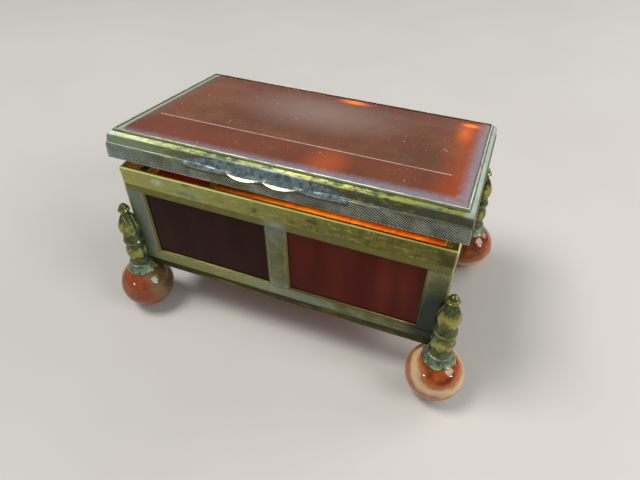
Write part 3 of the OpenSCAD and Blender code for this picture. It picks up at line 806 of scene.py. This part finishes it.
def lid_slab():
    """Lid stone: a table bounded by four shallow bevels, its ridges slightly worn."""
    half_l, half_w = slab_high.x, slab_high.y
    z0, edge, top = slab_low.z, slab_high.z - TABLE_RISE, slab_high.z
    table = (half_l - TABLE_IN[0], half_w - TABLE_IN[1], top)
    levels = [(half_l, half_w, z0), (half_l, half_w, edge), table]
    around = ((-1, -1), (1, -1), (1, 1), (-1, 1))
    points = [(sx * x, sy * y, z) for x, y, z in levels for sx, sy in around]
    faces = [(3, 2, 1, 0), (8, 9, 10, 11)]
    for low in (0, 4):
        faces += [(low + i, low + (i + 1) % 4, low + 4 + (i + 1) % 4, low + 4 + i) for i in range(4)]
    slab = piece("lid_slab", "lid", ["lid_stone"], "lid_stone", points, faces,
                 lid_pose, sharp=1)
    worn = slab.modifiers.new("worn_ridges", "BEVEL")
    worn.width, worn.segments = WORN_W * MM, 3
    worn.limit_method, worn.angle_limit = "ANGLE", math.radians(2)


def scallop_at(x):
    """(reach, middle share) of the thumb piece at x; the share is above 0 on the two middle scallops."""
    off, outer_w = abs(x - thumb_mid), thumb_half - SCALLOP_W
    full = thumb_high.y - thumb_low.y
    if off <= SCALLOP_W:
        width, middle, sag, reach = SCALLOP_W, SCALLOP_W / 2, 1.0, full
        share = max(0.0, 1 - (2 * (off - middle) / width) ** 2)
    else:
        width, middle, sag, reach = outer_w, SCALLOP_W + outer_w / 2, 0.6, full - 0.3
        share = 0.0
    radius = ((width / 2) ** 2 + sag ** 2) / (2 * sag)
    return reach - radius + math.sqrt(max(0.0, radius ** 2 - (off - middle) ** 2)), share


def thumb_piece():
    """Scalloped thumb piece with a broad filed facet along the edge of each middle scallop."""
    top, bottom, wall = thumb_high.z, thumb_low.z, thumb_high.y
    count = 200
    points, relief, faces = [], [], []
    for i in range(count + 1):
        x = thumb_low.x + 2 * thumb_half * i / count
        reach, share = scallop_at(x)
        facet = 0.06 + 0.5 * share
        edge = top - 0.62 * facet
        shine = 1.0 if share > 0.04 else 0.35
        rise = waver((x, 0, 0), 2.5, 0.05, 6.0)
        solder = 0.34 * min(1.0, 4 * min(i, count - i) / count)
        if i >= count - 2:
            shine = 0.9
        section = [
            (-THUMB_ROOT, top + solder + 0.02, 0), (0.04, top + solder, 0), (0.14, top + 0.14, 0),
            (0.4 * reach, top + 0.03 + rise, 0), (reach - facet - 0.04, top + rise, 0),
            (reach - facet, top - 0.02 + rise, shine),
            (reach - 0.35 * facet, top - 0.38 * facet + rise, shine),
            (reach - 0.02, edge + rise, 0.25 * shine), (reach, edge - 0.06 + rise, 0),
            (reach - 0.1, edge - 0.16, 0), (0.45 * reach, bottom + 0.2, 0),
            (0.06, bottom, 0), (-THUMB_ROOT, bottom, 0),
        ]
        points += [(x, wall - out, z) for out, z, _ in section]
        relief += [float(bright) for _, _, bright in section]
    around = len(section)
    for i in range(count):
        for j in range(around):
            a, b = i * around + j, i * around + (j + 1) % around
            faces.append((a, b, b + around, a + around))
    faces += [tuple(range(around)), tuple(range(count * around, (count + 1) * around))]
    piece("thumb_catch", "lid", ["thumb_piece"], "thumb", points, faces,
          lid_pose, sharp=28, relief=relief)


lid_band()
lid_skirt()
lid_lip()
lid_slab()
thumb_piece()

# ---- case


def rim_collar():
    """Plain band round the mouth with its rounded rim and the flange over the panels."""
    z0, top = rim_low.z, rim_high.z
    outline = [(0.03, z0), (0.0, z0 + 0.1), (0.0, top), (0.8, top), (0.8, z0 + 0.4),
               (inner_inset, z0 + 0.4), (inner_inset, z0)]
    radii = [0.0, 0.06, 0.3, 0.12, 0.1, 0.1, 0]
    points, faces = ring(case_half, fillet(outline, radii, 4), 1.0, seamed(0.03, 0.035, 11.0, 1.0))
    piece("rim_collar", "case", ["rim_band"], "rim", points, faces)


def base_collar():
    """Plain band round the foot of the walls with the flange that carries the floor."""
    z0, top = base_low.z, base_high.z
    outline = [(0, z0), (0, top - 0.02), (0.05, top), (wall_t, top), (wall_t, z0 + FLANGE_T),
               (FLANGE_W, z0 + FLANGE_T), (FLANGE_W, z0)]
    radii = [0.14, 0.05, 0, 0, 0, 0.1, 0.1]
    points, faces = ring(case_half, fillet(outline, radii, 4), 1.0, seamed(0.05, 0.05, 14.0, 0.5))
    piece("base_collar", "case", ["base_band"], "base", points, faces)


def softened(node, width):
    """Points in millimetres and faces of a CAD node with its sharp edges slightly rounded."""
    work = bmesh.new()
    work.from_mesh(frame["nodes"][node].data)
    bmesh.ops.remove_doubles(work, verts=work.verts, dist=0.001 * MM)
    bmesh.ops.dissolve_limit(work, angle_limit=math.radians(1), verts=work.verts, edges=work.edges)
    hard = [e for e in work.edges if len(e.link_faces) == 2 and e.calc_face_angle() > math.radians(25)]
    bmesh.ops.bevel(work, geom=hard, offset=width * MM, segments=2, affect="EDGES", profile=0.5)
    work.verts.index_update()
    points = [v.co / MM for v in work.verts]
    faces = [tuple(v.index for v in f.verts) for f in work.faces]
    work.free()
    return points, faces


def turned_patch(u0, u1, v0, v1):
    """Points (along, height, proud), faces and grooves of one engine-turned rectangle."""
    columns, rows = max(2, round((u1 - u0) / ZIG)), turned_count(v0, v1)
    points, grooves = [], []
    for i in range(columns + 1):
        for j in range(rows + 1):
            border = i in (0, columns) or j in (0, rows)
            groove = bool(j % 2)
            proud = 0.0 if border or groove else GROOVE
            points.append((u0 + (u1 - u0) * i / columns, turned_row(j, rows, i, v0, v1), proud))
            grooves.append(float(groove and not border))
    side = rows + 1
    faces = [(i * side + j, (i + 1) * side + j, (i + 1) * side + j + 1, i * side + j + 1)
             for i in range(columns) for j in range(rows)]
    return points, faces, grooves


def turned_wall(side, windows):
    """Pierced wall whose uprights and lower rail are engine-turned; windows are (low, high) along it."""
    node = side + "_frame"
    low = box_mm(node)[0]
    points, faces = softened(node, EDGE_R)
    relief = [-1.0] * len(points)
    lengthwise = side in ("front", "back")
    sign = {"front": -1, "right": 1, "back": 1, "left": -1}[side]
    half = rim_high.x if lengthwise else rim_high.y
    out = rim_high.y if lengthwise else rim_high.x
    bevel, clear = 0.45, 0.06
    window_low, window_high = panel_low.z + PANEL_LAP - bevel, panel_high.z - PANEL_LAP + bevel
    edges = [-half + clear] + [edge for window in windows for edge in window] + [half - clear]
    patches = [(-half + clear, half - clear, low.z + 0.05, window_low)]
    for start, end in zip(edges[::2], edges[1::2]):
        inner_start = start + (bevel if start > -half + clear else 0)
        inner_end = end - (bevel if end < half - clear else 0)
        patches.append((inner_start, inner_end, window_low, window_high))
    for patch in patches:
        flat, patch_faces, grooves = turned_patch(*patch)
        first = len(points)
        for along, z, proud in flat:
            across = sign * (out + proud)
            points.append(Vector((along, across, z)) if lengthwise else Vector((across, along, z)))
        faces += [tuple(first + i for i in face) for face in patch_faces]
        relief += grooves
    piece(side + "_wall_turned", "case", [node], "wall_turned",
          points, faces, sharp=60, relief=relief)


rim_collar()
base_collar()
for side in ("front", "back"):
    spans = [box_mm(f"{side}_{end}_stone") for end in ("left", "right")]
    turned_wall(side, sorted((low.x + PANEL_LAP, high.x - PANEL_LAP) for low, high in spans))
for side in ("left", "right"):
    low, high = box_mm(side + "_stone")
    turned_wall(side, [(low.y + PANEL_LAP, high.y - PANEL_LAP)])

# ---- feet

LOBE_PITCH = math.radians(52)


def foot_place(side_x, side_y):
    """Matrix in millimetres from a foot's own axes, +X pointing away from the case, to the row frame."""
    turn = Matrix.Rotation(math.atan2(side_y, side_x), 4, "Z")
    return Matrix.Translation((side_x * foot_x, side_y * foot_y, 0)) @ turn


def clear_of_case(point):
    """A point pushed out of the case block through its nearer wall."""
    into_x, into_y = case_half[0] - abs(point.x), case_half[1] - abs(point.y)
    if into_x > 0 and into_y > 0:
        if into_x < into_y:
            point.x = math.copysign(case_half[0], point.x)
        else:
            point.y = math.copysign(case_half[1], point.y)
    return point


def lathe(levels, around, radius_at):
    """Points and faces of a closed turned shape; radius_at(angle, z, r) gives each point's own radius."""
    points = [
        Vector((r * math.cos(a), r * math.sin(a), z))
        for r0, z in levels
        for a in (2 * math.pi * i / around for i in range(around))
        for r in (radius_at(a, z, r0),)
    ]
    faces = [
        (n + i, n + (i + 1) % around, n + around + (i + 1) % around, n + around + i)
        for n in range(0, (len(levels) - 1) * around, around) for i in range(around)
    ]
    faces.append(tuple(range(around)))
    faces.append(tuple(range((len(levels) - 1) * around, len(levels) * around)))
    return points, faces


def between(value, table):
    """Straight-line interpolation in a table of (place, value) pairs."""
    for (x0, y0), (x1, y1) in zip(table, table[1:]):
        if value <= x1:
            return y0 + (y1 - y0) * (value - x0) / (x1 - x0)
    return table[-1][1]


def lobe(angle, z, middle, half_height, reach, radius, power=1.7):
    """(radius, crest) of the nearest lobe of a tier at an angle and height, or (0, 0) outside it."""
    share = abs(z - middle) / half_height
    if share >= 1:
        return 0.0, 0.0
    swell = radius * (1 - share ** power)
    off = (angle + LOBE_PITCH / 2) % LOBE_PITCH - LOBE_PITCH / 2
    sideways = reach * math.sin(off)
    if abs(sideways) >= swell:
        return 0.0, 0.0
    depth = math.sqrt(swell ** 2 - sideways ** 2)
    return reach * math.cos(off) + depth, depth / radius


def casting_surface(angle, z):
    """(radius, crest) of a corner mount: lobed knob, almond tier, ring, tier of longer lobes."""
    z0, top = cap_high.z, mount_high.z
    ring_z = z0 + 6.5
    core = between(z, [
        (z0, 2.3), (z0 + 0.3, 2.3), (z0 + 0.8, 2.05), (ring_z - 0.9, 2.0), (ring_z - 0.45, 2.15),
        (ring_z + 0.45, 2.15), (ring_z + 1, 1.95), (top - 5.3, 1.75), (top - 3.5, 1.2), (top - 2.4, 0.85),
        (top - 1.9, 0.7), (top, 0.0),
    ])
    best = (core, 0.28)
    bead = 0.45 ** 2 - (z - ring_z) ** 2
    if bead > 0:
        best = max(best, (1.9 + math.sqrt(bead), 0.6))
    knob = 0.9 ** 2 - (z - top + 0.9) ** 2
    if knob > 0:
        best = max(best, (math.sqrt(knob), 0.35))
    for middle, half_height, reach, radius in (
        (z0 + 3.15, 3.2, 1.35, 1.1), (top - 6.1, 3.3, 1.15, 1.15), (top - 1.45, 0.85, 0.6, 0.72),
    ):
        best = max(best, lobe(angle, z, middle, half_height, reach, radius))
    return best


def foot_piece(name, part, node, finish, side_x, side_y, turned, relief=None):
    """A turned shape, its points and faces given, set at its corner and fitted to the case."""
    place = foot_place(side_x, side_y)
    points = [clear_of_case(place @ p) for p in turned[0]]
    piece(name + part, "case", [name + node], finish, points, turned[1],
          sharp=50, relief=relief)


def casting(name, side_x, side_y):
    """Cast corner mount."""
    around, steps = 140, 150
    z0, top = cap_high.z, mount_high.z
    levels = [(0, z0 + (top - z0) * math.sin(math.pi / 2 * n / steps)) for n in range(steps + 1)]
    relief = []

    def radius_at(angle, z, _r):
        radius, crest = casting_surface(angle, z)
        relief.append(crest)
        spot = (radius * math.cos(angle), radius * math.sin(angle) + 9 * side_x, z)
        wear = waver(spot, 1.2, 0.08, side_y)
        return max(0.02, radius + wear * min(1.0, radius))

    turned = lathe(levels, around, radius_at)
    foot_piece(name, "_casting", "_mount", "cast", side_x, side_y, turned, relief)


def cup(name, side_x, side_y):
    """Flared cap over the bead, its lower edge faintly lobed."""
    z0, z1 = cap_low.z, cap_high.z
    low_r = 3.4
    outline = [(0.9, z0 + 1.1), (low_r - 0.35, z0 + 0.06), (low_r, z0), (low_r, z0 + 0.4),
               (2.95, z0 + 0.85), (2.5, z0 + 1.5), (2.3, z1 - 0.55),
               (2.62, z1 - 0.4), (2.62, z1 - 0.05), (2.0, z1 + 0.1)]
    radii = [0, 0.1, 0.12, 0.18, 0.5, 0.6, 0.1, 0.14, 0.14, 0]
    levels = [(p.x, p.y) for p in fillet(outline, radii, 4)]

    def radius_at(angle, z, r):
        flare = max(0.0, 1 - abs(z - z0 - 0.3) / 0.8)
        crust = waver((r * math.cos(angle) + 5 * side_x, r * math.sin(angle), z), 0.7, 0.06, side_y)
        return r + crust + 0.07 * flare * math.cos(9 * angle)

    turned = lathe(levels, 96, radius_at)
    foot_piece(name, "_cup", "_cap", "verdigris", side_x, side_y, turned)


corners = {"front_left": (-1, -1), "front_right": (1, -1), "back_left": (-1, 1), "back_right": (1, 1)}
for name, (side_x, side_y) in corners.items():
    casting(name, side_x, side_y)
    cup(name, side_x, side_y)

# ---- finishes of the CAD nodes


def dress(node, material):
    """Gives a CAD node its material."""
    node_mesh = frame["nodes"][node].data
    node_mesh.materials.clear()
    node_mesh.materials.append(material)


kept = {
    "lid_hinge_leaf": "hinge", "case_hinge_leaf": "hinge", "hinge_pin": "pin",
    "front_left_stone": "dark_stone", "back_right_stone": "dark_stone",
    "front_right_stone": "red_stone", "back_left_stone": "red_stone",
    "left_stone": "red_stone", "right_stone": "red_stone", "bottom_stone": "floor_stone",
}
kept.update({side + "_keeper": "inner" for side in ("front", "back", "left", "right")})
kept.update({name + "_peg": "peg" for name in corners})
for node, finish in kept.items():
    dress(node, finishes[finish])

CREAM = srgb(216, 186, 142)
PINK = srgb(172, 98, 46)
UMBER = srgb(92, 70, 34)
AMBER = srgb(158, 76, 14)
bands = {
    "front_right": ((-0.18, 0.38, -0.9), ((-0.84, 0.08, PINK), (-0.66, 0.1, CREAM), (-0.4, 0.1, PINK),
                                          (0.1, 0.3, AMBER))),
    "front_left": ((0.9, 0.3, 0.4), ((-0.2, 0.5, srgb(140, 62, 26)), (0.5, 0.12, srgb(128, 96, 60)),
                                     (0.8, 0.15, UMBER))),
    "back_right": ((0.1, 0.2, -0.9), ((-0.2, 0.15, PINK), (0.1, 0.1, CREAM), (0.45, 0.2, PINK))),
    "back_left": ((0.6, -0.6, -0.6), ((0.0, 0.2, PINK), (0.4, 0.12, CREAM))),
}
for name, (side_x, side_y) in corners.items():
    axis, layers = bands[name]
    dress(name + "_ball", bead_carnelian(name + "_bead", side_x, side_y, axis, layers))

# ---- floor, light and camera

AIM = Vector((0, 0, 0.02))  # where the lamps point


def lamp(name, place, size, power, tint=(1.0, 1.0, 1.0)):
    """An area lamp at a place in metres, pointing at AIM."""
    data = bpy.data.lights.new(name, "AREA")
    data.size, data.energy, data.color = size, power, tint
    made = bpy.data.objects.new(name, data)
    made.location = place
    made.rotation_euler = (AIM - Vector(place)).to_track_quat("-Z", "Y").to_euler()
    scene.collection.objects.link(made)
    return made


def studio():
    """Pale floor and surround, three soft lamps, two glints that only reflections show, and a lamp
    under the lid for the daylight that comes through its stone; it doesn't move with the lid."""
    floor = Shader("floor", roughness=0.75)
    floor.colour = floor.mix(floor.noise(60, detail=3), srgb(187, 184, 179), srgb(197, 195, 191))
    floor.done()
    mesh = bpy.data.meshes.new("floor")
    reach = 3.0
    mesh.from_pydata([(-reach, -reach, 0), (reach, -reach, 0), (reach, reach, 0), (-reach, reach, 0)], [],
                     [(0, 1, 2, 3)])
    mesh.materials.append(floor.material)
    ground = bpy.data.objects.new("floor", mesh)
    scene.collection.objects.link(ground)

    world = bpy.data.worlds.new("surround")
    world.use_nodes = True
    world.node_tree.nodes["Background"].inputs["Color"].default_value = (0.86, 0.9, 1.0, 1.0)
    world.node_tree.nodes["Background"].inputs["Strength"].default_value = 0.27
    scene.world = world

    lamp("key", (-0.27, -0.12, 0.62), 0.24, 3.4, (1.0, 0.97, 0.92))
    lamp("fill", (0.5, -0.1, 0.35), 0.3, 1.8, (1.0, 0.98, 0.95))
    lamp("back", (0.45, 0.4, 0.35), 0.4, 2.0, (1.0, 0.96, 0.9))
    for name, place in (("glint_left", (-0.18, -0.34, 0.13)), ("glint_right", (0.42, -0.11, 0.13))):
        lamp(name, place, 0.025, 0.12).visible_diffuse = False
    through = lamp("through_lid", (9 * MM, 0, (rim_high.z - 1) * MM), 1.2 * slab_high.x * MM, 0.025,
                   (1.0, 0.74, 0.22))
    through.rotation_euler = (0, 0, 0)
    through.data.shape, through.data.size_y = "RECTANGLE", 1.2 * slab_high.y * MM


def camera():
    """Camera at the photograph's viewing angle: its place, then its heading, tilt and roll in degrees."""
    place, heading, tilt, roll = (0.03401, -0.08303, 0.09812), 21.21, 46.59, -0.09
    data = bpy.data.cameras.new("camera")
    data.sensor_width, data.lens, data.clip_start = 36.0, 28.76, 0.005
    view = bpy.data.objects.new("camera", data)
    view.matrix_world = Matrix.Translation(place)
    for angle, axis in ((heading, "Z"), (tilt, "X"), (roll, "Z")):
        view.matrix_world = view.matrix_world @ Matrix.Rotation(math.radians(angle), 4, axis)
    scene.collection.objects.link(view)
    scene.camera = view


studio()
camera()
scene.view_settings.view_transform = "Standard"
